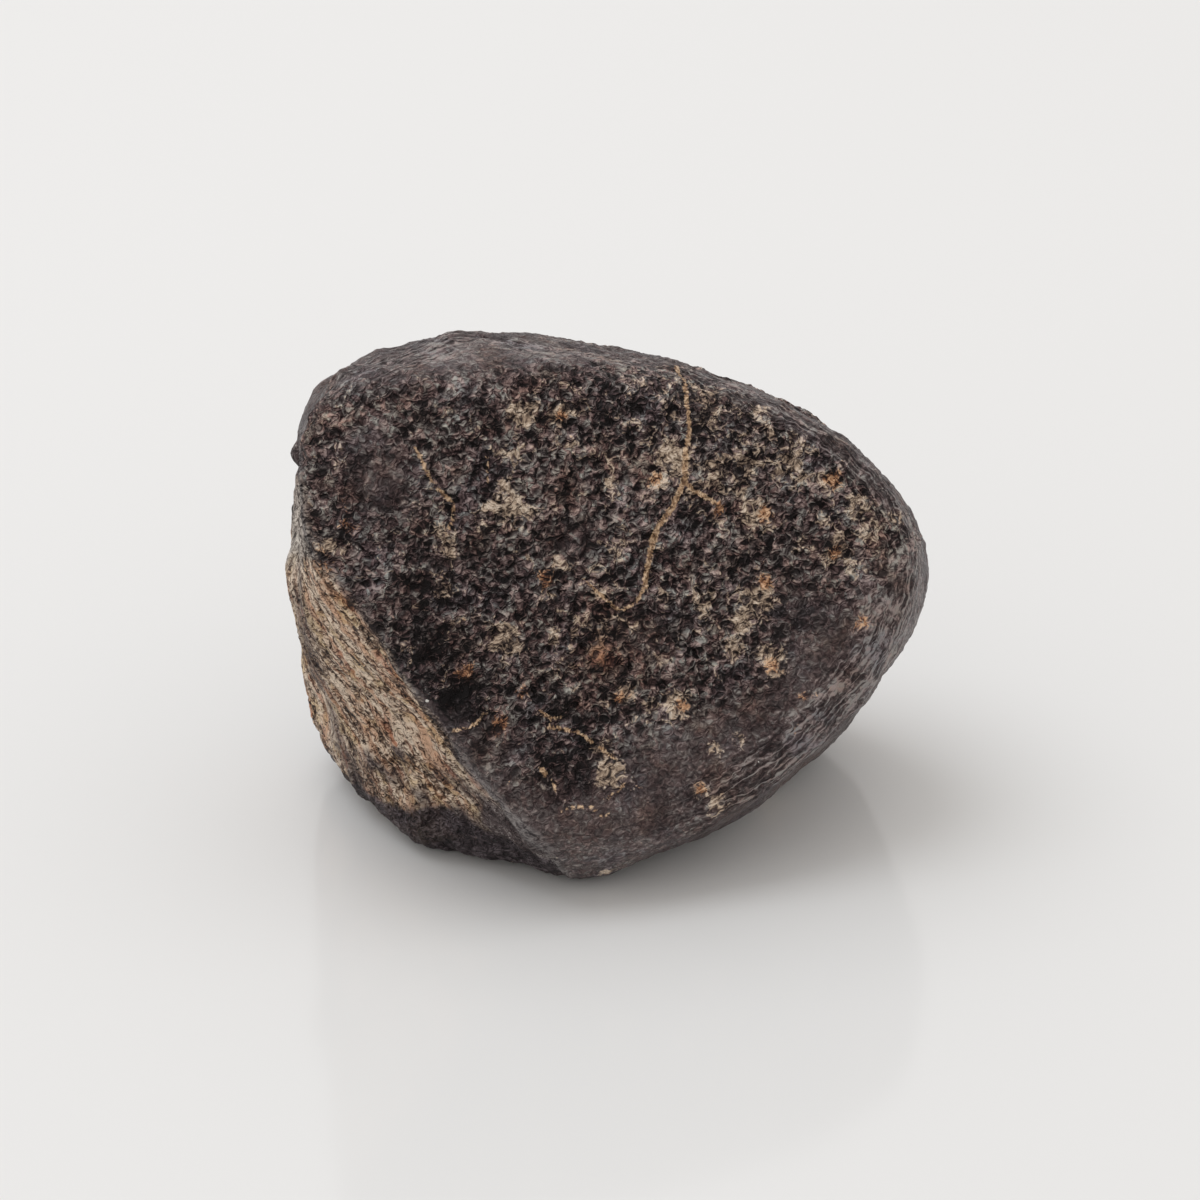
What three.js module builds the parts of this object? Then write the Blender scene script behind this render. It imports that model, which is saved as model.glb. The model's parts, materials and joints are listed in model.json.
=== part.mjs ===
// A small stony meteorite: one solid stone, worn to a rounded wedge, with one face broken off it.
// Millimetres, +Z up. The steep main face looks to the front (-Y), and the broken face looks down
// to the left (-X). The stone stands on a small worn flat at z = 0, centred over the origin.
import * as THREE from "three";
import { mergeVertices } from "three/addons/utils/BufferGeometryUtils.js";
import { ImprovedNoise } from "three/addons/math/ImprovedNoise.js";

// The stone's outside size (mm), which the faces below are fitted to.
const LENGTH = 27.9; // left to right, along X
const DEPTH = 19.4; // front to back, along Y
const HEIGHT = 22.3; // off the surface it stands on, along Z

const MIDDLE = new THREE.Vector3(0.3, 1.5, 11.2); // where every face's reach is measured from
const FINENESS = 19; // each edge of the icosahedron is cut at this many places

// The faces: which way each looks (azimuth from +X and elevation, degrees) and its reach (mm).
const WORN_FACES = [
  ["front", -78, 24, 6.6],
  ["front_top", -60, 58, 10.3],
  ["top", 90, 78, 10.6],
  ["top_right", 50, 62, 9.4],
  ["top_back", 100, 50, 11.4],
  ["top_left", 136, 60, 12.9],
  ["left_shoulder", 172, 28, 14.9],
  ["left_side", -176, 0, 14.1],
  ["lower_left", -166, -16, 14.4],
  ["left_under", -150, -40, 15.2],
  ["front_foot", -93, -36, 13.2],
  ["lower_front", -103, -60, 14.5],
  ["under_right", -60, -56, 13.4],
  ["lower_right", -38, -38, 12.6],
  ["right_front", -19, -22, 13.7],
  ["right_under", 14, -28, 15.2],
  ["right_tip", -5, 5, 14.5],
  ["right_shoulder", 18, 38, 12.0],
  ["back", 92, 0, 8.6],
  ["back_right", 48, 0, 12.0],
  ["back_left", 138, 5, 12.2],
  ["back_under", 95, -45, 11.0],
  ["base", 0, -90, 11.0],
];
const BROKEN_FACES = [
  ["broken", -137, -20, 11.6],
  ["left_strip", -172, 2, 13.3],
];
const WORN_EDGE = 16; // the higher, the crisper the edge between two faces
const BROKEN_EDGE = 40;

// Swellings and hollows: which way each lies (degrees), its half width and its height (mm).
const SWELLINGS = [
  ["foot", -95, -80, 5.0, 0.6],
  ["lobe_left", -163, -42, 2.6, 1.0],
  ["lobe_right", -143, -45, 2.2, 0.8],
  ["front_foot", -97, -54, 2.4, 0.5],
  ["hollow_of_broken_face", -142, -18, 4.6, -0.3],
  ["pit_on_ridge", -126, -7, 1.2, -0.35],
];

// Lumps all over the stone: the width of one lump and its height (mm), from broad to narrow.
const LUMPS = [
  [5.5, 0.24],
  [2.6, 0.13],
];

const degrees = THREE.MathUtils.degToRad;
const noise = new ImprovedNoise();

function towards(azimuth, elevation) {
  const flat = Math.cos(degrees(elevation));
  return new THREE.Vector3(
    flat * Math.cos(degrees(azimuth)),
    flat * Math.sin(degrees(azimuth)),
    Math.sin(degrees(elevation)),
  );
}

const asPlanes = (faces) =>
  faces.map(([, azimuth, elevation, reach]) => ({ normal: towards(azimuth, elevation), reach }));

const WORN_PLANES = asPlanes(WORN_FACES);
const BROKEN_PLANES = asPlanes(BROKEN_FACES);

// One over the distance to the nearest plane in a direction, rounded off where planes meet.
function blended(direction, planes, edge, start = 0) {
  const total = planes.reduce(
    (sum, { normal, reach }) => sum + Math.max(0, direction.dot(normal) / reach) ** edge,
    start ** edge,
  );
  return total ** (1 / edge);
}

function swelling(direction, reach) {
  return SWELLINGS.reduce((total, [, azimuth, elevation, halfWidth, height]) => {
    const away = reach * direction.angleTo(towards(azimuth, elevation));
    return total + height * Math.exp(-((away / halfWidth) ** 2));
  }, 0);
}

function lumps(point) {
  return LUMPS.reduce((total, [width, height]) => {
    const { x, y, z } = point.clone().divideScalar(width);
    return total + height * noise.noise(x, y, z);
  }, 0);
}

function radius(direction) {
  const worn = blended(direction, WORN_PLANES, WORN_EDGE);
  const reach = 1 / blended(direction, BROKEN_PLANES, BROKEN_EDGE, worn);
  return reach + swelling(direction, reach) + lumps(direction.clone().multiplyScalar(reach));
}

function stoneGeometry() {
  const ball = new THREE.IcosahedronGeometry(1, FINENESS);
  ball.deleteAttribute("normal");
  ball.deleteAttribute("uv");
  const geometry = mergeVertices(ball);
  const place = geometry.attributes.position;
  for (let i = 0; i < place.count; i += 1) {
    const direction = new THREE.Vector3().fromBufferAttribute(place, i).normalize();
    const point = direction.clone().multiplyScalar(radius(direction)).add(MIDDLE);
    place.setXYZ(i, point.x, point.y, Math.max(0, point.z));
  }
  geometry.computeBoundingBox();
  const size = geometry.boundingBox.getSize(new THREE.Vector3());
  const centre = geometry.boundingBox.getCenter(new THREE.Vector3());
  geometry.translate(-centre.x, -centre.y, 0);
  geometry.scale(LENGTH / size.x, DEPTH / size.y, HEIGHT / size.z);
  geometry.computeVertexNormals();
  return geometry;
}

const stone = new THREE.Mesh(
  stoneGeometry(),
  new THREE.MeshStandardMaterial({ color: 0x4a423e, roughness: 0.75, metalness: 0 }),
);
stone.name = "stone";

const meteorite = new THREE.Group();
meteorite.add(stone);

export default meteorite;
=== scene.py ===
"""A chondrite meteorite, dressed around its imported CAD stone. Blender 4.5, metres.

The CAD solid is smoothed and roughened into one detailed stone. Marks seen in the photograph are
named by their pixels in its 1200 x 1200 frame, and found on the stone by a ray from the camera.
"""

import json
import math
from types import SimpleNamespace

import bpy
import numpy as np
from mathutils import Matrix, Vector, noise
from mathutils.bvhtree import BVHTree

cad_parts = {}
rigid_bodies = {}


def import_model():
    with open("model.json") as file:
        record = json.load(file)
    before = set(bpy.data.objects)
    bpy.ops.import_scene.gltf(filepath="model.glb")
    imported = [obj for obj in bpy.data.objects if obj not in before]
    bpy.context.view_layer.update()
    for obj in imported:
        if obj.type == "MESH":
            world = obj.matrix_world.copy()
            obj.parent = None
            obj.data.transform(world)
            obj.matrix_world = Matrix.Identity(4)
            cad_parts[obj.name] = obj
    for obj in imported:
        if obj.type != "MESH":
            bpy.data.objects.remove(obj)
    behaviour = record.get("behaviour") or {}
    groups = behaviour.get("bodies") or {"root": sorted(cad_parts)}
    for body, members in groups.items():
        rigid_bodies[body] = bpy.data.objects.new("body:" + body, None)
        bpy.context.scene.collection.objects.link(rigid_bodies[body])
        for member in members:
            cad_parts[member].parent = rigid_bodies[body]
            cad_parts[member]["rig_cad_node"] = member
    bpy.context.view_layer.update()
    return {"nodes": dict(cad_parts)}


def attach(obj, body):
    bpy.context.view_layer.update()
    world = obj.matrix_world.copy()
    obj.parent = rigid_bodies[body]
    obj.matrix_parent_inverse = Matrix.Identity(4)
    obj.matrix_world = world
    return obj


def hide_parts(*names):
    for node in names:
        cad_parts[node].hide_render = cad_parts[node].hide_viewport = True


MM = 0.001
SUBDIVISIONS = 2  # makes 24 triangles out of each one of the CAD solid's

# ---------------------------------------------------------------- camera
PHOTO_SIDE = 1200  # pixels
FOCAL = 4700  # the lens, in pixels of the photograph
SCALE = 22.9  # pixels per millimetre where the camera is aimed
AIM = Vector((-0.37, -0.305, 10.2)) * MM
ELEVATION = math.radians(28)
ROLL = math.radians(1.4)
SENSOR = 36  # mm

# ---------------------------------------------------------------- light and floor
WORLD_STRENGTH = 0.82
WORLD_COLOR = (1.0, 0.97, 0.945)
PHOTOGRAPHER = (-90, 5)  # azimuth and elevation, degrees
FRONT_SHARE = 0.84  # how bright the world is there, against the rest of it
LAMP_PLACE = (-0.21, 0.12, 0.55)  # above the back of the stone's left
LAMP_SIZE = 0.5
LAMP_POWER = 1.1  # watts
LAMP_COLOR = (0.95, 1.0, 1.07)
FLOOR_SIZE = 3
FLOOR_GAP = 0.01 * MM  # keeps the floor off the flat that the stone stands on
FLOOR_COLOR = (0.83, 0.83, 0.82, 1)

# ---------------------------------------------------------------- the stone
BROKEN_FACING = (-140, -18)  # the way that the broken face looks: azimuth and elevation, degrees
STRIP_FACING = (-172, 2)  # the same for the part of it at the left flank
ACROSS_FACE = (-50, 0)  # along the broken face, towards the ridge
PAINTED_LIGHT_FROM = Vector((-0.35, -0.1, 0.93)).normalized()  # grains are painted paler on this side of them and darker on the other: painted light and shade
LEVEL_SLOPE = 0.53  # how much higher a place 1 mm further back looks in the photograph, mm
RIM_WIDTH = 0.12  # half the width of a chondrule's rim, mm
RIM_DEPTH = 0.05
PIT_RADIUS = 0.16  # of a small pit, mm

# ---------------------------------------------------------------- marks, in photograph pixels
# Lines: the points that they pass through.
# The ridge in front of the broken face, from its top to its foot.
RIDGE = [
    (303, 430), (306, 480), (308, 530), (318, 562), (340, 580), (370, 620), (400, 670),
    (430, 710), (450, 735), (470, 770), (500, 805), (540, 845), (572, 872),
]
# The upper edge of the smooth underside, and the lower edge of the smooth top.
SMOOTH_EDGE = [
    (918, 548), (865, 604), (815, 622), (786, 655), (768, 695), (730, 714), (690, 724), (650, 738),
    (618, 768), (585, 796), (545, 802), (505, 784), (478, 756), (458, 732),
]
TOP_EDGE = [(330, 392), (385, 388), (450, 380), (520, 366), (600, 364), (680, 372), (740, 398)]
# The upper edge of the dark lobes at the foot of the broken face.
LOBE_EDGE = [(360, 789), (376, 797), (405, 808), (436, 806), (460, 820), (485, 835), (515, 851)]
# The rounded edge that the worn top, right end and foot share, just inside the outline.
WORN_EDGE = [
    (314, 432), (322, 404), (348, 378), (400, 358), (455, 345), (520, 344), (600, 354), (680, 374),
    (740, 394), (800, 418), (850, 454), (884, 495), (906, 545), (902, 600), (886, 645), (858, 685),
    (825, 722), (785, 762), (740, 794), (690, 820), (630, 846),
]
# The worn rim along the left of the broken face.
LEFT_RIM = [(300, 585), (304, 640), (314, 690), (330, 735), (352, 772)]
# Veins and thin pale lines: half width (mm) and the points passed through.
VEINS = {
    "main, high": (0.085, [(675, 371), (685, 384), (687, 407), (689, 431), (685, 458)]),
    "main, low": (0.11, [(685, 455), (684, 479), (673, 506), (657, 528), (650, 552), (645, 586)]),
    "branch": (0.08, [(686, 484), (694, 491), (713, 501), (722, 508)]),
    "left": (0.07, [(416, 447), (423, 465), (437, 488), (454, 504), (453, 520), (448, 534)]),
    "faint": (0.03, [(487, 453), (488, 482)]),
    "below the main vein": (0.045, [(645, 586), (636, 602), (620, 612), (604, 598), (584, 580)]),
    "foot": (0.06, [(548, 727), (562, 729), (578, 732), (598, 746), (614, 758)]),
    "foot, second": (0.07, [(541, 768), (549, 779), (557, 790)]),
    "rim of the pit": (0.04, [(487, 712), (477, 723), (466, 729), (452, 731)]),
    "chondrule's rim": (0.045, [(540, 711), (551, 719), (565, 717)]),
    "near the bottom": (0.04, [(560, 812), (575, 806), (592, 808), (603, 817), (612, 812)]),
    "near the bottom, second": (0.05, [(606, 800), (617, 792), (626, 783)]),
}

# Patches: x, y, radius and strength.
PALE_PATCHES = {
    "right of the vein": (675, 460, 20, 0.85),
    "left of the vein": (658, 480, 11, 0.85),
    "end of the branch": (757, 513, 16, 0.9),
    "largest": (757, 604, 18, 1.0),
    "below the largest": (742, 622, 12, 0.9),
    "beside the largest": (767, 590, 9, 0.8),
    "right island": (770, 655, 13, 0.9),
    "right island's foot": (775, 672, 9, 0.8),
    "right island's arm": (733, 648, 13, 0.8),
    "lower centre": (677, 703, 14, 0.9),
    "lower centre's tail": (652, 705, 10, 0.7),
    "under the brown chondrule": (621, 695, 12, 0.8),
    "foot of the front": (611, 772, 15, 0.9),
    "foot, upper part": (600, 750, 9, 0.6),
    "left of the brown chondrule": (505, 640, 14, 0.9),
    "upper left pair": (524, 412, 13, 0.8),
    "upper left pair, second": (558, 414, 11, 0.9),
    "centre left": (508, 502, 24, 0.58),
    "centre left, low": (520, 525, 14, 0.5),
    "right of the top": (786, 462, 16, 0.7),
    "right shoulder": (830, 478, 14, 0.7),
    "right shoulder, low": (856, 508, 14, 0.7),
    "right shoulder, centre": (835, 555, 16, 0.8),
    "near the top": (760, 407, 9, 0.9),
    "above the centre": (648, 436, 12, 0.6),
    "right of the centre": (703, 603, 12, 0.6),
    "grey, by the rimmed chondrule": (554, 636, 9, 0.7),
    "grey, centre": (583, 621, 9, 0.7),
    "grey, right": (601, 594, 10, 0.6),
    "left of the main vein": (612, 497, 11, 0.6),
    "foot, left": (578, 734, 8, 0.5),
    "broad, right of the vein": (760, 470, 62, 0.3),
    "broad, beside the vein's top": (705, 418, 40, 0.45),
    "broad, right shoulder": (850, 520, 36, 0.3),
    "broad, left of the vein": (612, 450, 50, 0.25),
    "broad, centre": (600, 600, 60, 0.25),
    "broad, left": (500, 500, 60, 0.2),
    "low right": (713, 747, 8, 0.8),
    "low right, second": (739, 741, 7, 0.7),
    "near the edge": (700, 792, 9, 0.9),
    "at the edge": (718, 806, 10, 0.9),
    "bottom": (545, 858, 9, 0.8),
    "bottom, second": (606, 866, 8, 0.8),
    "left flank": (336, 548, 13, 0.65),
    "left, high": (503, 452, 12, 0.5),
    "end of the left vein": (447, 545, 16, 0.5),
    "under the left vein": (445, 590, 14, 0.5),
    "right tip": (897, 518, 9, 0.7),
    "broken face, yellow": (412, 730, 18, 0.8),
    "broken face, left": (333, 712, 12, 0.6),
}
RUST_PATCHES = {
    "left of the vein": (655, 479, 8, 0.9),
    "branch": (720, 508, 6, 0.9),
    "end of the branch": (766, 514, 8, 1.0),
    "largest": (767, 582, 8, 0.8),
    "shoulder": (832, 477, 10, 1.0),
    "shoulder, low": (834, 553, 7, 1.0),
    "below the shoulder": (861, 620, 9, 0.7),
    "right island": (772, 664, 10, 0.7),
    "lower centre": (684, 706, 7, 0.9),
    "under the brown chondrule": (617, 698, 7, 0.9),
    "above the rimmed chondrule": (520, 692, 7, 0.8),
    "below the pit": (499, 723, 9, 1.0),
    "above the pit": (467, 673, 10, 0.9),
    "centre": (544, 578, 9, 0.8),
    "pair": (560, 415, 7, 0.9),
    "low right": (700, 790, 6, 0.9),
    "small, right of the band": (803, 695, 8, 0.6),
    "left flank": (345, 520, 14, 0.6),
    "end of the left vein": (457, 509, 5, 0.9),
    "top of the broken face": (322, 566, 13, 0.8),
    "broken face, high": (340, 600, 10, 0.6),
    "broken face, middle": (350, 672, 9, 0.9),
    "broken face, red": (357, 700, 8, 0.9),
    "broken face, beside the pit": (430, 733, 7, 0.9),
    "broken face, low": (412, 772, 9, 0.7),
    "lobe": (386, 795, 8, 1.0),
    "lobe, second": (403, 803, 7, 1.0),
}
# Darker places. The pit's darkening is painted shade in it.
DARK_PATCHES = {
    "pit": (457, 704, 30, 1.0),
    "above the pit": (440, 650, 36, 0.7),
    "broken face, low": (396, 768, 20, 0.5),
    "broken face, edge": (352, 752, 14, 0.4),
    "beside the vein": (697, 511, 17, 0.5),
    "foot of the front": (565, 755, 40, 0.5),
    "right of the centre": (800, 612, 36, 0.35),
    "left of the centre": (440, 600, 34, 0.5),
    "upper centre": (600, 400, 34, 0.35),
    "under the right island": (735, 672, 20, 0.5),
}
SMOOTH_PATCHES = {
    "round, left": (383, 480, 28, 0.9),
    "round, left, upper part": (370, 440, 20, 0.6),
    "oval, right": (806, 612, 30, 0.6),
    "centre": (574, 545, 16, 0.6),
    "over the foot": (640, 640, 16, 0.5),
    "left of the foot": (505, 750, 20, 0.6),
}
# Chondrules: x, y, radius and how far each stands out, mm.
CHONDRULES = {
    "rimmed": (556, 695, 21, 0.06),
    "brown": (603, 661, 27, -0.05),
    "smooth": (383, 480, 24, 0.05),
    "right": (800, 572, 18, 0.05),
    "centre": (574, 545, 14, 0.04),
    "foot": (575, 762, 34, -0.05),
}
# Painted sheen: places painted paler where light glances off them, in the way of the patches above.
SHEEN_PATCHES = {
    "right tip": (900, 560, 44, 0.5),
    "right tip, low": (892, 635, 34, 1.0),
    "right edge": (862, 680, 28, 0.8),
    "right edge, low": (815, 715, 30, 0.4),
    "top edge, left": (360, 400, 34, 0.6),
    "top, left of the middle": (450, 360, 50, 0.6),
    "top, middle": (560, 352, 50, 0.6),
    "bottom": (600, 850, 40, 0.4),
    "lower right": (735, 745, 60, 0.12),
}
# Bumps and hollows: x, y, radius and how far each stands out, mm.
MOUNDS = {
    "top, left": (466, 341, 36, 0.42),
    "top, middle": (590, 348, 36, -0.16),
    "top, right": (682, 372, 32, 0.22),
    "left shoulder": (346, 376, 24, 0.36),
    "left flank": (297, 490, 40, -0.2),
    "broken face's edge": (309, 695, 50, -0.3),
    "left lobe": (418, 826, 24, 0.3),
    "under the foot": (508, 858, 30, -0.36),
    "foot": (592, 866, 34, 0.2),
    "smooth hollow": (383, 480, 40, -0.08),
    "hollow under the top": (470, 590, 40, -0.1),
    "swell beside the vein": (600, 520, 60, 0.12),
    "hollow, centre right": (735, 560, 45, -0.1),
    "swell, right": (820, 540, 40, 0.1),
    "hollow over the foot": (575, 762, 40, -0.12),
}
# The same at the outline itself, named by pixels just outside it.
OUTLINE_MOUNDS = {
    "flake on the left edge": (284, 451, 13, 0.5),
    "left flank": (282, 488, 46, -0.5),
    "left flank, low": (282, 518, 44, -0.5),
    "top of the broken face": (281, 562, 30, 0.5),
    "broken face's edge, high": (288, 664, 44, -0.24),
    "broken face's edge, low": (306, 714, 44, -0.42),
    "notch over the lobe": (356, 808, 20, -0.26),
    "left lobe": (398, 842, 24, 0.2),
    "under the foot": (510, 880, 40, -0.24),
    "foot": (612, 892, 44, 0.12),
    "lower right": (770, 808, 24, 0.1),
    "right side, low": (826, 778, 44, -0.48),
    "right side": (854, 748, 50, -0.54),
    "right side, high": (886, 704, 50, -0.54),
    "right end": (934, 600, 50, 0.22),
    "right end, high": (922, 508, 24, 0.1),
    "right shoulder": (846, 422, 60, -0.36),
    "top, right": (678, 350, 26, 0.16),
    "top, middle": (588, 325, 50, -0.13),
    "top, left": (478, 318, 34, 0.1),
    "left shoulder": (360, 346, 22, 0.24),
    "left corner": (308, 384, 24, 0.24),
}
PIT = (457, 706)  # the deep pit on the ridge
BROWN_CHONDRULE = (603, 661)
SMALL_PITS = [(781, 687), (834, 672), (737, 731), (786, 753), (805, 695), (905, 640), (860, 700)]
# Glints: x, y and radius, mm.
GLINTS = [(428, 700, 0.1), (700, 711, 0.07), (759, 763, 0.07), (424, 707, 0.04)]


# ---------------------------------------------------------------- the photograph's camera
def camera_axes():
    """The photograph's camera: its right, up and back directions."""
    right = Vector((1, 0, 0))
    up = Vector((0, math.sin(ELEVATION), math.cos(ELEVATION)))
    back = Vector((0, -math.cos(ELEVATION), math.sin(ELEVATION)))
    turned_right = right * math.cos(ROLL) - up * math.sin(ROLL)
    turned_up = up * math.cos(ROLL) + right * math.sin(ROLL)
    return turned_right, turned_up, back


def camera_place():
    return AIM + camera_axes()[2] * (FOCAL / SCALE * MM)


def make_camera():
    right, up, back = camera_axes()
    data = bpy.data.cameras.new("camera")
    data.sensor_width = SENSOR
    data.lens = SENSOR * FOCAL / PHOTO_SIDE
    data.clip_start = 0.01
    data.clip_end = 10
    camera = bpy.data.objects.new("camera", data)
    turn = Matrix((right, up, back)).transposed().to_4x4()
    camera.matrix_world = Matrix.Translation(camera_place()) @ turn
    bpy.context.scene.collection.objects.link(camera)
    bpy.context.scene.camera = camera


# ---------------------------------------------------------------- geometry
def smoothstep(low, high, value):
    t = np.clip((value - low) / (high - low), 0, 1)
    return t * t * (3 - 2 * t)


def bell(value, width):
    return np.exp(-((value / width) ** 2))


def towards(azimuth, elevation):
    a, e = math.radians(azimuth), math.radians(elevation)
    return np.array([math.cos(e) * math.cos(a), math.cos(e) * math.sin(a), math.sin(e)])


def perlin(points, width, seed):
    """Smooth noise from about -1 to 1 at points in mm, with lumps of about that width."""
    shift = Vector((17.3 * seed, -9.1 * seed, 5.7 * seed))
    return np.array([noise.noise(Vector(p) + shift) for p in points / width])


def crests(points, width, seed):
    """Narrow winding crests, 0.6 high, over hollows that are flat at -0.4."""
    return np.clip(1 - np.abs(perlin(points, width, seed)) * 3.2, 0, 1) - 0.4


def smooth_copy(node):
    """A finer mesh over a CAD node: its facets welded and rounded by subdivision."""
    stone = node.copy()
    stone.data = node.data.copy()
    stone.name = "stone_surface"
    if "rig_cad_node" in stone:
        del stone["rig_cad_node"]
    stone.parent = None
    bpy.context.scene.collection.objects.link(stone)
    weld = stone.modifiers.new("weld", "WELD")
    weld.merge_threshold = 1e-6
    smooth = stone.modifiers.new("smooth", "SUBSURF")
    smooth.levels = smooth.render_levels = SUBDIVISIONS
    mesh = bpy.data.meshes.new_from_object(
        stone.evaluated_get(bpy.context.evaluated_depsgraph_get())
    )
    stone.modifiers.clear()
    stone.data = mesh
    return stone


def read(mesh, what):
    """The places ("co") or the normals of a mesh's vertices."""
    values = np.empty(len(mesh.vertices) * 3, np.float32)
    if what == "co":
        mesh.vertices.foreach_get("co", values)
    else:
        mesh.vertex_normals.foreach_get("vector", values)
    return values.reshape(-1, 3).astype(float)


def store(mesh, name, values):
    layer = mesh.attributes.new(name, "FLOAT", "POINT")
    layer.data.foreach_set("value", values.astype(np.float32))


class Surface:
    """The smooth stone, in mm, and the places on it that the photograph's pixels name."""

    def __init__(self, mesh):
        self.points = read(mesh, "co") / MM
        self.normals = read(mesh, "normal")
        self.height = self.points[:, 2]
        polygons = [tuple(p.vertices) for p in mesh.polygons]
        self.tree = BVHTree.FromPolygons([Vector(p) for p in self.points], polygons)
        self.eye = camera_place() / MM
        self.seen = smoothstep(-0.15, 0.1, self.normals @ np.array(camera_axes()[2]))
        self.ragged = 0.25 * perlin(self.points, 0.9, 11)  # moves the edges of masks about

    def hit(self, x, y):
        """Where the ray through a pixel meets the stone, or None where it misses."""
        right, up, back = camera_axes()
        middle = PHOTO_SIDE / 2
        ray = right * (x - middle) - up * (y - middle) - back * FOCAL
        return self.tree.ray_cast(self.eye, ray.normalized())[0]

    def place(self, x, y):
        found = self.hit(x, y)
        if found is None:
            raise ValueError(f"pixel {x}, {y} isn't on the stone")
        return np.array(found)

    def outline_place(self, x, y):
        """The first place on the stone on the way in from a pixel outside it."""
        middle = PHOTO_SIDE / 2
        distance = math.hypot(x - middle, y - middle)
        for i in range(round(distance)):
            t = i / distance
            found = self.hit(x + (middle - x) * t, y + (middle - y) * t)
            if found is not None:
                return np.array(found)
        raise ValueError(f"nothing of the stone on the way in from {x}, {y}")

    def route(self, pixels, step=6):
        """The course of a line on the stone, with a place every few pixels."""
        places = []
        for (x0, y0), (x1, y1) in zip(pixels, pixels[1:]):
            count = max(1, round(math.hypot(x1 - x0, y1 - y0) / step))
            for i in range(count):
                t = i / count
                places.append(self.place(x0 + (x1 - x0) * t, y0 + (y1 - y0) * t))
        places.append(self.place(*pixels[-1]))
        return np.array(places)

    def from_route(self, route):
        """Each point's distance from a route, positive on its left, and how far along it is."""
        best = np.full(len(self.points), 1e9)
        along = np.zeros(len(self.points))
        for i, (a, b) in enumerate(zip(route, route[1:])):
            span = b - a
            t = np.clip(((self.points - a) @ span) / (span @ span), 0, 1)
            off = self.points - (a + t[:, None] * span)
            size = np.linalg.norm(off, axis=1)
            side = np.sign(np.einsum("ij,ij->i", off, np.cross(self.normals, span)))
            nearer = size < np.abs(best)
            best = np.where(nearer, np.where(side == 0, 1, side) * size, best)
            along = np.where(nearer, (i + t) / (len(route) - 1), along)
        return best, along

    def from_line(self, pixels, step=6):
        return self.from_route(self.route(pixels, step))

    def away(self, place):
        """Each point's distance from a place."""
        return np.linalg.norm(self.points - place, axis=1)

    def facing(self, direction):
        return self.normals @ towards(*direction)

    def patches(self, named):
        """Soft round patches at named pixels: 1 at a centre, 0 well outside its radius."""
        total = np.zeros(len(self.points))
        for x, y, radius, strength in named.values():
            away = self.away(self.place(x, y)) * SCALE / radius
            total = np.maximum(total, strength * np.exp(-0.7 * away**2))
        return total

    def mounds(self, named, find):
        """The height of some bumps and hollows, each placed by find."""
        total = np.zeros(len(self.points))
        for x, y, radius, rise in named.values():
            total += rise * bell(self.away(find(x, y)), radius / SCALE)
        return total

    def inside(self, distances):
        """How far inside the nearest of some marks each point is, mm: -0.3 far outside them."""
        total = np.full(len(self.points), -0.3)
        for distance in distances:
            total = np.maximum(total, distance)
        return total


def broken_face(surface):
    """Masks of the broken face, its parts and the ridge's lip, and the way that it is streaked."""
    points, height, ragged = surface.points, surface.height, surface.ragged
    uneven = perlin(points, 1.6, 22)
    ridge = surface.route(RIDGE)
    from_ridge, along_ridge = surface.from_route(ridge)
    behind = smoothstep(-0.06, 0.06, -from_ridge)
    broken = behind * smoothstep(0.45, 0.75, surface.facing(BROKEN_FACING))

    # Crust covers the top of the face and its low end. The rest is tan, and grey in the strip.
    level = height + LEVEL_SLOPE * points[:, 1]
    below_crust = smoothstep(16.6, 15.8, level + 0.6 * uneven)
    above_crust = smoothstep(0.86, 0.7, along_ridge + 0.2 * perlin(points, 1.3, 12))
    across = towards(*ACROSS_FACE)
    order = np.argsort(ridge[:, 2])
    ridge_here = np.interp(height, ridge[order, 2], ridge[order] @ across)
    beside_ridge = points @ across - ridge_here
    strip = behind * below_crust * smoothstep(0.2, 0.5, surface.facing(STRIP_FACING))
    strip *= smoothstep(11.4, 12.8, level + 3 * ragged)
    strip *= smoothstep(11.5, 9.5, np.abs(beside_ridge) + uneven)

    low = broken * smoothstep(5.5, 4.5, height)
    from_lobe, _ = surface.from_line(LOBE_EDGE)
    from_rim, _ = surface.from_line(LEFT_RIM)
    worn_lip = smoothstep(0.9, 0.2, np.abs(from_ridge))
    worn_lip *= smoothstep(0.6, 0.8, along_ridge) * smoothstep(1.0, 0.88, along_ridge)
    return SimpleNamespace(
        broken=broken,
        tan=broken * above_crust * below_crust,
        strip=strip,
        lobe=low * smoothstep(-0.1, 0.15, -from_lobe + ragged),
        lobe_groove=low * bell(from_lobe, 0.15),
        rim=behind * bell(from_rim + ragged, 1.1),
        lip=bell(from_ridge + 0.08 + 0.3 * ragged, 0.17),
        worn_lip=worn_lip,
        streaks=np.stack([beside_ridge, 0.3 * height, np.zeros_like(height)], 1),
    )


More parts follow.
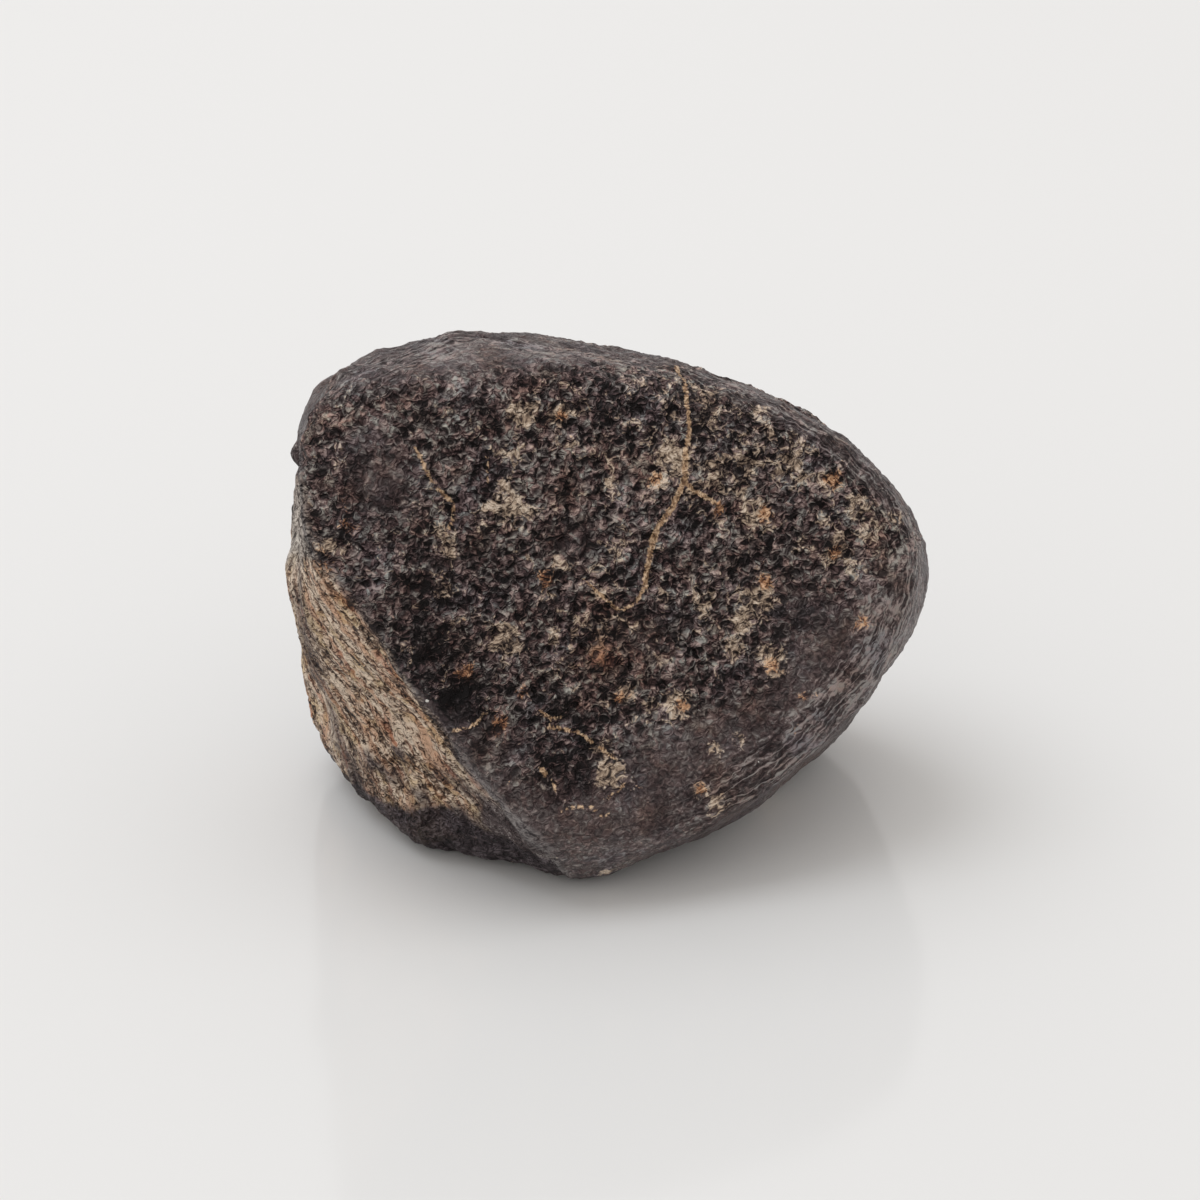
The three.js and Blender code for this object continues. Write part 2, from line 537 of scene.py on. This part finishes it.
def worn_parts(surface, broken):
    """Masks of the smooth underside, the top and the worn edge, and places across and along it."""
    seen, ragged, upward = surface.seen, surface.ragged, surface.normals[:, 2]
    from_smooth, _ = surface.from_line(SMOOTH_EDGE)
    under_seen = smoothstep(-1.8, 1.2, from_smooth + 2.5 * ragged)
    under_hidden = smoothstep(0.0, -0.4, upward + ragged)
    under = (seen * under_seen + (1 - seen) * under_hidden) * (1 - broken)

    from_top, _ = surface.from_line(TOP_EDGE)
    top_seen = smoothstep(-1.2, 1.2, from_top + 2.5 * ragged)
    top_hidden = smoothstep(0.75, 0.95, upward + 0.5 * ragged)
    top = (seen * top_seen + (1 - seen) * top_hidden) * (1 - broken)

    from_edge, along_edge = surface.from_line(WORN_EDGE)
    edge = smoothstep(2.3, 0.6, np.abs(from_edge)) * (1 - broken) * (0.25 + 0.75 * seen)
    edge *= smoothstep(0.0, 0.08, along_edge) * smoothstep(1.0, 0.88, along_edge)
    broken_up = perlin(surface.points, 2.0, 21) + 0.6 * bell(from_edge, 1.0)
    return SimpleNamespace(
        under=np.maximum(under, surface.patches(SMOOTH_PATCHES)),
        top=top * smoothstep(0.1, 0.5, upward),
        edge=edge * smoothstep(-0.5, 0.2, broken_up),
        flow=np.stack([from_edge, 8.5 * along_edge, 0.3 * surface.points[:, 1]], 1),
    )


def spots(surface):
    """Masks of the patches, chondrules, small pits, veins and glints."""
    points = surface.points
    pale, rust = surface.patches(PALE_PATCHES), surface.patches(RUST_PATCHES)
    hidden = (1 - surface.seen) * (1 - smoothstep(-0.2, 0.2, perlin(points, 3.5, 15)))
    hidden_pale = hidden * smoothstep(0.15, 0.5, perlin(points, 1.3, 16))
    hidden_rust = hidden * smoothstep(0.3, 0.55, perlin(points, 0.9, 17))

    dark = surface.patches(DARK_PATCHES)
    domes = np.zeros(len(points))
    for x, y, radius, rise in CHONDRULES.values():
        away, size = surface.away(surface.place(x, y)), radius / SCALE
        rim = bell(away - size, RIM_WIDTH)
        domes += rise * smoothstep(size, 0.6 * size, away) - RIM_DEPTH * rim
        # The rim's groove is painted darker: painted shade in it.
        dark = np.maximum(dark, 0.6 * rim)
    pits = np.zeros(len(points))
    for x, y in SMALL_PITS:
        pits = np.maximum(pits, bell(surface.away(surface.place(x, y)), PIT_RADIUS))

    glints = [radius - surface.away(surface.place(x, y)) for x, y, radius in GLINTS]
    veins = [width - np.abs(surface.from_line(line, 4)[0]) for width, line in VEINS.values()]
    return SimpleNamespace(
        pale=np.maximum(pale, hidden_pale),
        rust=np.maximum(rust, hidden_rust),
        dark=dark,
        sheen=surface.patches(SHEEN_PATCHES),
        domes=domes,
        pits=pits,
        brown=bell(surface.away(surface.place(*BROWN_CHONDRULE)), 1.1),
        inside_glint=surface.inside(glints),
        inside_vein=surface.inside(veins),
    )


def fine_relief(surface, face, worn):
    """Grains and crests where the stone isn't smooth, and streaks on the broken face, mm."""
    points = surface.points
    smooth = np.maximum.reduce(
        [worn.under * 0.8, worn.top * 0.55, face.worn_lip * 0.8, face.lobe * 0.6]
    )
    grainy = (1 - smooth) * (1 - face.broken)
    grains = 0.11 * perlin(points, 0.62, 3) + 0.03 * perlin(points, 0.33, 4)
    grains += 0.13 * crests(points, 0.8, 5) + 0.08 * crests(points, 0.5, 6)
    streaks = 0.1 * perlin(face.streaks, 0.4, 7) + 0.1 * crests(face.streaks, 0.7, 8)
    return grains * (0.15 + 0.85 * grainy) + face.broken * streaks


def broad_relief(surface, face, worn, marks):
    """Everything in the stone's shape that is wider than its grains, mm."""
    points = surface.points
    relief = 0.12 * perlin(points, 2.8, 1) + 0.09 * perlin(points, 1.4, 2)
    relief += surface.mounds(MOUNDS, surface.place)
    relief += surface.mounds(OUTLINE_MOUNDS, surface.outline_place)
    relief += 0.14 * face.broken * perlin(face.streaks, 1.1, 18)
    relief += 0.07 * worn.edge * (perlin(worn.flow, 0.5, 19) + crests(worn.flow, 0.7, 20))
    relief += marks.domes - 0.12 * marks.pits
    relief -= 0.2 * marks.dark * bell(surface.away(surface.place(*PIT)), 1.0)
    relief += 0.1 * face.lip - 0.1 * face.lobe_groove
    return relief


def sculpt(stone):
    """Roughens the smooth stone and stores the masks that its material reads."""
    mesh = stone.data
    surface = Surface(mesh)
    face = broken_face(surface)
    worn = worn_parts(surface, face.broken)
    marks = spots(surface)
    fine = fine_relief(surface, face, worn)
    masks = {
        "broken": face.broken,
        "tan": face.tan,
        "strip": face.strip,
        "lobe": face.lobe,
        "rim": face.rim,
        "lip": np.maximum(face.lip, face.worn_lip),
        "across_ridge": face.streaks[:, 0],
        "along_ridge": face.streaks[:, 1],
        "under": worn.under,
        "top": worn.top,
        "edge": worn.edge,
        "across_edge": worn.flow[:, 0],
        "along_edge": worn.flow[:, 1],
        "pale": marks.pale,
        "rust": marks.rust,
        # Small pits are painted darker too: painted shade in them.
        "dark": np.maximum(marks.dark, marks.pits),
        "sheen": marks.sheen,
        "brown": marks.brown,
        "inside_glint": marks.inside_glint,
        "inside_vein": marks.inside_vein,
        "relief": fine,
    }
    for name, values in masks.items():
        store(mesh, name, values)

    rise = fine + broad_relief(surface, face, worn, marks)
    moved = surface.points + surface.normals * rise[:, None]
    moved[:, 2] = np.maximum(moved[:, 2], 0)
    mesh.vertices.foreach_set("co", (moved * MM).astype(np.float32).ravel())
    mesh.update()
    # Painted light and shade on the mesh's relief: how far each place is turned towards the side
    # that is painted lit.
    turned = read(mesh, "normal") - surface.normals
    store(mesh, "painted_shading_of_relief", turned @ np.array(PAINTED_LIGHT_FROM))
    for polygon in mesh.polygons:
        polygon.use_smooth = True


# ---------------------------------------------------------------- materials
# Colour ramps: places on the ramp, and colours picked on a 0 to 255 scale.
STONY = [
    (0.27, (16, 9, 9)), (0.39, (45, 35, 35)), (0.5, (73, 61, 61)),
    (0.61, (106, 93, 91)), (0.75, (152, 141, 136)), (0.92, (204, 193, 184)),
]
WORN = [(0.3, (38, 27, 28)), (0.44, (70, 58, 58)), (0.6, (100, 89, 88)), (0.8, (160, 151, 148))]
TAN = [
    (0.34, (34, 24, 21)), (0.5, (80, 66, 58)), (0.64, (142, 122, 105)),
    (0.8, (194, 171, 148)), (0.95, (232, 213, 192)),
]
RUSTY = [
    (0.38, (36, 22, 17)), (0.53, (96, 62, 44)),
    (0.68, (176, 122, 84)), (0.88, (236, 192, 152)),
]
VEIN = [(0.3, (110, 82, 62)), (0.48, (186, 150, 116)), (0.7, (250, 218, 182))]
BROKEN = [
    (0.22, (34, 24, 20)), (0.38, (94, 75, 63)),
    (0.52, (150, 127, 108)), (0.69, (238, 218, 196)),
]
STRIP = [
    (0.28, (32, 27, 27)), (0.48, (88, 81, 78)),
    (0.68, (156, 148, 141)), (0.86, (208, 200, 191)),
]
LIP = [(0.3, (46, 42, 44)), (0.5, (88, 83, 84)), (0.75, (154, 149, 147))]
# Tints that the rock's colours are multiplied by, on the same scale.
WARM = (236, 208, 190)
COOL = (216, 224, 240)
GREENISH_GRAIN = (220, 234, 232)
PINKISH_GRAIN = (246, 222, 220)
BROWNER = (222, 182, 156)
YELLOWER = (238, 226, 194)
REDDER = (204, 152, 132)
LOBE_TINT = (160, 156, 168)
CHONDRULE_BROWN = (200, 140, 100)
GLINT = (238, 236, 230)  # a colour, not a tint


def srgb(r, g, b):
    """A colour picked on a 0 to 255 scale, as the linear values that nodes take."""

    def linear(v):
        v /= 255
        return v / 12.92 if v <= 0.04045 else ((v + 0.055) / 1.055) ** 2.4

    return (linear(r), linear(g), linear(b), 1.0)


class Shader:
    """A short way to add nodes: sockets and numbers go in, a socket comes out."""

    def __init__(self, name):
        self.material = bpy.data.materials.new(name)
        self.material.use_nodes = True
        self.tree = self.material.node_tree
        self.tree.nodes.clear()

    def node(self, kind, inputs=None, out=0, **settings):
        made = self.tree.nodes.new("ShaderNode" + kind)
        for key, value in settings.items():
            setattr(made, key, value)
        for key, value in (inputs or {}).items():
            socket = made.inputs[key]
            if isinstance(value, bpy.types.NodeSocket):
                self.tree.links.new(value, socket)
            else:
                socket.default_value = value
        return made.outputs[out] if len(made.outputs) else None

    def mask(self, name):
        return self.node("Attribute", out="Fac", attribute_name=name)

    def math(self, operation, a, b=0.0, c=0.0):
        return self.node("Math", {0: a, 1: b, 2: c}, operation=operation)

    def vector(self, operation, inputs, out=0):
        return self.node("VectorMath", inputs, out, operation=operation)

    def times(self, a, b):
        return self.math("MULTIPLY", a, b)

    def total(self, *parts):
        """The sum of some (socket, weight) pairs."""
        value = self.times(*parts[0])
        for socket, weight in parts[1:]:
            value = self.math("MULTIPLY_ADD", socket, weight, value)
        return value

    def step(self, value, low, high, start=0.0, end=1.0):
        return self.node(
            "MapRange",
            {"Value": value, "From Min": low, "From Max": high, "To Min": start, "To Max": end},
            interpolation_type="SMOOTHSTEP",
        )

    def moved(self, at, offset):
        return self.vector("ADD", {0: at, 1: offset})

    def bent(self, at, wobble, amounts):
        return self.vector("MULTIPLY_ADD", {0: wobble, 1: amounts, 2: at})

    def noise(self, at, scale, detail=2.0, roughness=0.5, out=0):
        return self.node(
            "TexNoise",
            {"Vector": at, "Scale": scale, "Detail": detail, "Roughness": roughness},
            out=out,
            noise_type="FBM",
            normalize=True,
        )

    def worms(self, at, scale, width, detail=0.0):
        """Thin winding lines, 1 along their middle."""
        off = self.math("ABSOLUTE", self.math("SUBTRACT", self.noise(at, scale, detail), 0.5))
        return self.step(off, width, 0.0)

    def grains(self, at, scale):
        """Packed grains: 1 in the middle of each and 0 between them, and two random numbers each."""
        distance = self.node("TexVoronoi", {"Vector": at, "Scale": scale}, out="Distance")
        each = self.node("SeparateColor", {0: distance.node.outputs["Color"]}).node
        return self.step(distance, 0.6, 0.05), each.outputs[0], each.outputs[1]

    def mix(self, factor, a, b, blend="MIX"):
        return self.node(
            "Mix", {0: factor, 6: a, 7: b}, 2, data_type="RGBA", blend_type=blend, clamp_factor=True
        )

    def tinted(self, factor, color, tint):
        return self.mix(factor, color, srgb(*tint), "MULTIPLY")

    def ramp(self, value, stops):
        color = self.node("ValToRGB", {0: value})
        elements = color.node.color_ramp.elements
        while len(elements) < len(stops):
            elements.new(0.5)
        for element, (place, picked) in zip(elements, stops):
            element.position = place
            element.color = srgb(*picked)
        return color

    def finished(self, looks):
        """The material, with a surface of these looks."""
        self.node("OutputMaterial", {"Surface": self.node("BsdfPrincipled", looks)})
        return self.material


def textures(s):
    """The patterns that the kinds of rock share, by name."""
    here = s.node("TexCoord", out="Object")
    at = s.vector("SCALE", {0: here, "Scale": 1 / MM})
    wobble = s.vector("SUBTRACT", {0: s.noise(at, 3.0, 0.0, out=1), 1: (0.5, 0.5, 0.5)})
    bent = s.bent(at, wobble, (0.3, 0.3, 0.3))

    # Folds run along the worn edge, and the sheen is uneven in the same way.
    by_edge = s.node("CombineXYZ", {0: s.mask("across_edge"), 1: s.mask("along_edge")})
    flow = s.bent(by_edge, wobble, (0.2, 0.1, 0.14))
    flow_noise = s.noise(flow, 6.0, 2.0, 0.6)
    folds = s.total((flow_noise, 1.1), (s.worms(flow, 2.6, 0.1), 0.32), (1.0, -0.62))
    smooth = s.math("MAXIMUM", s.times(s.mask("under"), 0.9), s.times(s.mask("top"), 0.8))

    # Grit, winding pale strands, packed grains, dark gaps and lumps.
    grit = s.noise(bent, 7.5, 1.0, 0.6)
    more_strands = s.worms(s.moved(bent, (7.0, 3.0, 5.0)), 2.4, 0.2)
    strands = s.math("MAXIMUM", s.worms(bent, 1.6, 0.2), more_strands)
    grain, shade, tint = s.grains(bent, 4.2)
    gaps = s.step(s.noise(s.moved(bent, (4.0, 8.0, 6.0)), 3.6, 0.0), 0.45, 0.33)
    lumps = s.noise(s.moved(bent, (1.0, 6.0, 2.0)), 1.3, 2.0, 0.5)
    uneven = s.total((lumps, 1.4), (grit, 1.2), (1.0, -1.3))

    # Pale clusters, which a winding network joins where the stone isn't smooth.
    network = s.worms(s.moved(bent, (5.0, 1.0, 8.0)), 0.45, 0.07, 3.0)
    netted = s.times(network, s.math("SUBTRACT", 1.0, smooth))
    pale = s.total((s.mask("pale"), 1.25), (netted, 0.4), (uneven, 1.0))
    return SimpleNamespace(
        at=at,
        wobble=wobble,
        bent=bent,
        folds=s.times(s.mask("edge"), folds),
        sheen=s.times(s.mask("sheen"), s.step(flow_noise, 0.3, 0.7, 0.35, 0.85)),
        smooth=smooth,
        grit=grit,
        strands=strands,
        grain=grain,
        shade=shade,
        tint=tint,
        gaps=gaps,
        lumps=lumps,
        uneven=uneven,
        cluster=s.noise(at, 0.42, 4.0, 0.6),
        pale=s.step(pale, 0.45, 0.85),
    )


def small_grains(s, t):
    """Normals with small grains standing out, and their painted light and shade: how far each place
    turns towards the side that is painted lit.
    """
    height = s.total(
        (t.grit, 0.55), (t.grain, 0.3), (t.strands, 0.3), (t.shade, 0.15), (t.gaps, -0.3),
        (t.lumps, 0.5), (t.folds, 1.2),
    )
    strength = s.math("MULTIPLY_ADD", t.smooth, -0.45, 1.0)
    bump = s.node("Bump", {"Height": height, "Strength": strength, "Distance": 0.25 * MM})
    turned = s.vector("SUBTRACT", {0: bump, 1: s.node("NewGeometry", out="Normal")})
    upward = s.vector("DOT_PRODUCT", {0: turned, 1: PAINTED_LIGHT_FROM}, "Value")
    return bump, s.total((upward, 0.2), (s.mask("painted_shading_of_relief"), 0.32))


def brightness(s, t, painted_light_and_shade):
    """How bright the granular rock is, and the smooth rock. Both carry painted light and shade:
    grains paler on their lit side, hollows, gaps, pits and fold troughs darker and crests paler, and
    a painted sheen.
    """
    relief, dark = s.mask("relief"), s.mask("dark")
    granular = s.total(
        (painted_light_and_shade, 1.1), (t.grit, 0.42), (t.grain, 0.14), (t.strands, 0.3), (t.shade, 0.22),
        (t.gaps, -0.1), (t.lumps, 0.34), (t.cluster, 0.55), (relief, 0.75), (t.pale, 0.12),
        (dark, -0.3), (t.sheen, 0.25), (t.folds, 0.6), (1.0, -0.42),
    )
    smooth = s.total(
        (painted_light_and_shade, 0.8), (t.grit, 0.45), (t.grain, 0.08), (t.shade, 0.1), (t.lumps, 0.2),
        (t.cluster, 0.4), (relief, 0.8), (t.pale, 0.2), (dark, -0.1), (t.sheen, 0.42),
        (t.folds, 1.1), (1.0, -0.1),
    )
    return granular, smooth


def rock_color(s, t, bright, stony, worn):
    """Dark rock with slightly differing hues, tan clusters and veins."""
    color = s.mix(t.smooth, stony, worn)
    hue = s.noise(s.moved(t.at, (3.0, 9.0, 1.0)), 0.5, 3.0, 0.6)
    color = s.tinted(s.step(hue, 0.5, 0.68, 0.0, 0.6), color, WARM)
    color = s.tinted(s.step(hue, 0.5, 0.32, 0.0, 0.6), color, COOL)
    grain_tint = s.mix(s.step(t.tint, 0.2, 0.8), srgb(*GREENISH_GRAIN), srgb(*PINKISH_GRAIN))
    grains_share = s.math("MULTIPLY_ADD", t.smooth, -0.4, 0.75)
    color = s.mix(grains_share, color, grain_tint, "MULTIPLY")

    threads = s.step(s.total((t.strands, 1.0), (t.grit, 0.9)), 0.55, 1.0, 0.25, 0.95)
    color = s.mix(s.times(t.pale, threads), color, s.ramp(bright, TAN))
    vein_color = s.ramp(s.total((t.grit, 0.8), (t.grain, 0.2), (t.shade, 0.1)), VEIN)
    vein = s.total((s.mask("inside_vein"), 1.0), (t.grit, 0.2), (t.shade, 0.05), (1.0, -0.11))
    return s.mix(s.step(vein, -0.03, 0.04, 0.0, 0.9), color, vein_color)


def with_broken_face(s, t, painted_light_and_shade, color, stony, worn):
    """Adds the broken face: tan, with pale and dark fibres along the ridge, and brown parts."""
    by_ridge = s.node("CombineXYZ", {0: s.mask("across_ridge"), 1: s.mask("along_ridge")})
    flow = s.bent(by_ridge, t.wobble, (0.35, 0.15, 0.3))
    streaks = s.noise(flow, 3.4, 3.0, 0.65)
    fibres = s.worms(flow, 2.2, 0.08)
    cracks = s.worms(s.moved(flow, (2.0, 6.0, 9.0)), 1.7, 0.06, 1.0)
    zones = s.noise(t.at, 0.5, 3.0, 0.6)
    # Its brightness carries painted light and shade too: grains paler on their lit side, hollows
    # darker and crests paler.
    bright = s.total(
        (painted_light_and_shade, 0.9), (streaks, 0.55), (fibres, 0.14), (cracks, -0.2), (t.shade, 0.14),
        (t.grit, 0.45), (t.grain, 0.1), (t.gaps, -0.12), (zones, 0.5), (s.mask("pale"), 0.15),
        (s.mask("dark"), -0.25), (s.mask("relief"), 1.0), (1.0, -0.22),
    )
    browner = s.noise(flow, 0.9, 2.0, 0.6)
    yellower = s.noise(s.moved(t.bent, (8.0, 1.0, 3.0)), 0.8, 3.0, 0.6)
    redder = s.noise(s.moved(flow, (5.0, 2.0, 1.0)), 1.8, 2.0, 0.6)
    tan = s.ramp(bright, BROKEN)
    tan = s.tinted(s.step(browner, 0.47, 0.62, 0.0, 0.7), tan, BROWNER)
    tan = s.tinted(s.step(yellower, 0.5, 0.62, 0.0, 0.7), tan, YELLOWER)
    tan = s.tinted(s.step(redder, 0.57, 0.68, 0.0, 0.7), tan, REDDER)

    color = s.mix(s.mask("broken"), color, worn)
    color = s.mix(s.mask("tan"), color, tan)
    # The strip in a paler grey: partly a painted glancing reflection.
    color = s.mix(s.times(s.mask("strip"), 0.9), color, s.ramp(bright, STRIP))
    color = s.mix(s.times(s.mask("rim"), 0.7), color, worn)
    lobe_color = s.tinted(1.0, s.mix(0.5, stony, worn), LOBE_TINT)
    color = s.mix(s.times(s.mask("lobe"), 0.95), color, lobe_color)
    # The ridge's lip in a paler grey: partly a painted highlight along its crest.
    return s.mix(s.times(s.mask("lip"), 0.7), color, s.ramp(bright, LIP))


def with_spots(s, t, bright, color):
    """Adds the rust spots, the brown chondrule and the glints."""
    rust = s.step(s.math("ADD", s.mask("rust"), t.uneven), 0.4, 0.8, 0.0, 0.85)
    rust = s.times(rust, s.math("MULTIPLY_ADD", s.mask("broken"), -0.4, 1.0))
    color = s.mix(rust, color, s.ramp(bright, RUSTY))
    color = s.tinted(s.times(s.mask("brown"), 0.8), color, CHONDRULE_BROWN)
    return s.mix(s.step(s.mask("inside_glint"), -0.01, 0.02), color, srgb(*GLINT))


def stone_material():
    s = Shader("chondrite")
    t = textures(s)
    bump, painted_light_and_shade = small_grains(s, t)
    bright, smooth_bright = brightness(s, t, painted_light_and_shade)
    stony, worn = s.ramp(bright, STONY), s.ramp(smooth_bright, WORN)
    color = rock_color(s, t, bright, stony, worn)
    color = with_broken_face(s, t, painted_light_and_shade, color, stony, worn)
    color = with_spots(s, t, bright, color)
    gloss = s.math("MULTIPLY_ADD", t.smooth, -0.3, s.noise(t.at, 1.1, 3.0))
    rough = s.step(gloss, 0.1, 0.7, 0.33, 0.7)
    return s.finished(
        {"Base Color": color, "Roughness": rough, "Specular IOR Level": 0.2, "Normal": bump}
    )


def floor_material():
    looks = {"Base Color": FLOOR_COLOR, "Roughness": 0.12, "Specular IOR Level": 0.4}
    return Shader("pale_floor").finished(looks)


# ---------------------------------------------------------------- stage
def make_floor():
    mesh = bpy.data.meshes.new("floor")
    half = FLOOR_SIZE / 2
    corners = [(-half, -half, 0), (half, -half, 0), (half, half, 0), (-half, half, 0)]
    mesh.from_pydata(corners, [], [(0, 1, 2, 3)])
    floor = bpy.data.objects.new("floor", mesh)
    floor.location.z = -FLOOR_GAP
    floor.data.materials.append(floor_material())
    bpy.context.scene.collection.objects.link(floor)


def make_lamp():
    """A soft round lamp overhead that shines at the stone."""
    data = bpy.data.lights.new("overhead", "AREA")
    data.shape = "DISK"
    data.size = LAMP_SIZE
    data.energy = LAMP_POWER
    data.color = LAMP_COLOR
    lamp = bpy.data.objects.new("overhead", data)
    lamp.location = LAMP_PLACE
    lamp.rotation_euler = (-Vector(LAMP_PLACE)).to_track_quat("-Z", "Y").to_euler()
    bpy.context.scene.collection.objects.link(lamp)


def make_world():
    """Soft light from all round, dimmer from low in front, where the photographer stands."""
    world = bpy.data.worlds.new("studio")
    world.use_nodes = True
    tree = world.node_tree
    background = tree.nodes["Background"]
    background.inputs["Color"].default_value = (*WORLD_COLOR, 1)
    coordinates = tree.nodes.new("ShaderNodeTexCoord")
    facing = tree.nodes.new("ShaderNodeVectorMath")
    facing.operation = "DOT_PRODUCT"
    facing.inputs[1].default_value = towards(*PHOTOGRAPHER)
    dimming = tree.nodes.new("ShaderNodeMapRange")
    dimming.interpolation_type = "SMOOTHSTEP"
    dimming.inputs["From Min"].default_value = 0.1
    dimming.inputs["From Max"].default_value = 0.85
    dimming.inputs["To Min"].default_value = WORLD_STRENGTH
    dimming.inputs["To Max"].default_value = WORLD_STRENGTH * FRONT_SHARE
    tree.links.new(coordinates.outputs["Generated"], facing.inputs[0])
    tree.links.new(facing.outputs["Value"], dimming.inputs["Value"])
    tree.links.new(dimming.outputs[0], background.inputs["Strength"])
    bpy.context.scene.world = world


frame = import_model()

make_camera()
make_world()
make_lamp()
make_floor()

stone = smooth_copy(frame["nodes"]["stone"])
sculpt(stone)
stone.data.materials.clear()
stone.data.materials.append(stone_material())
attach(stone, "root")
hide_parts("stone")

bpy.context.scene.view_settings.view_transform = "Standard"
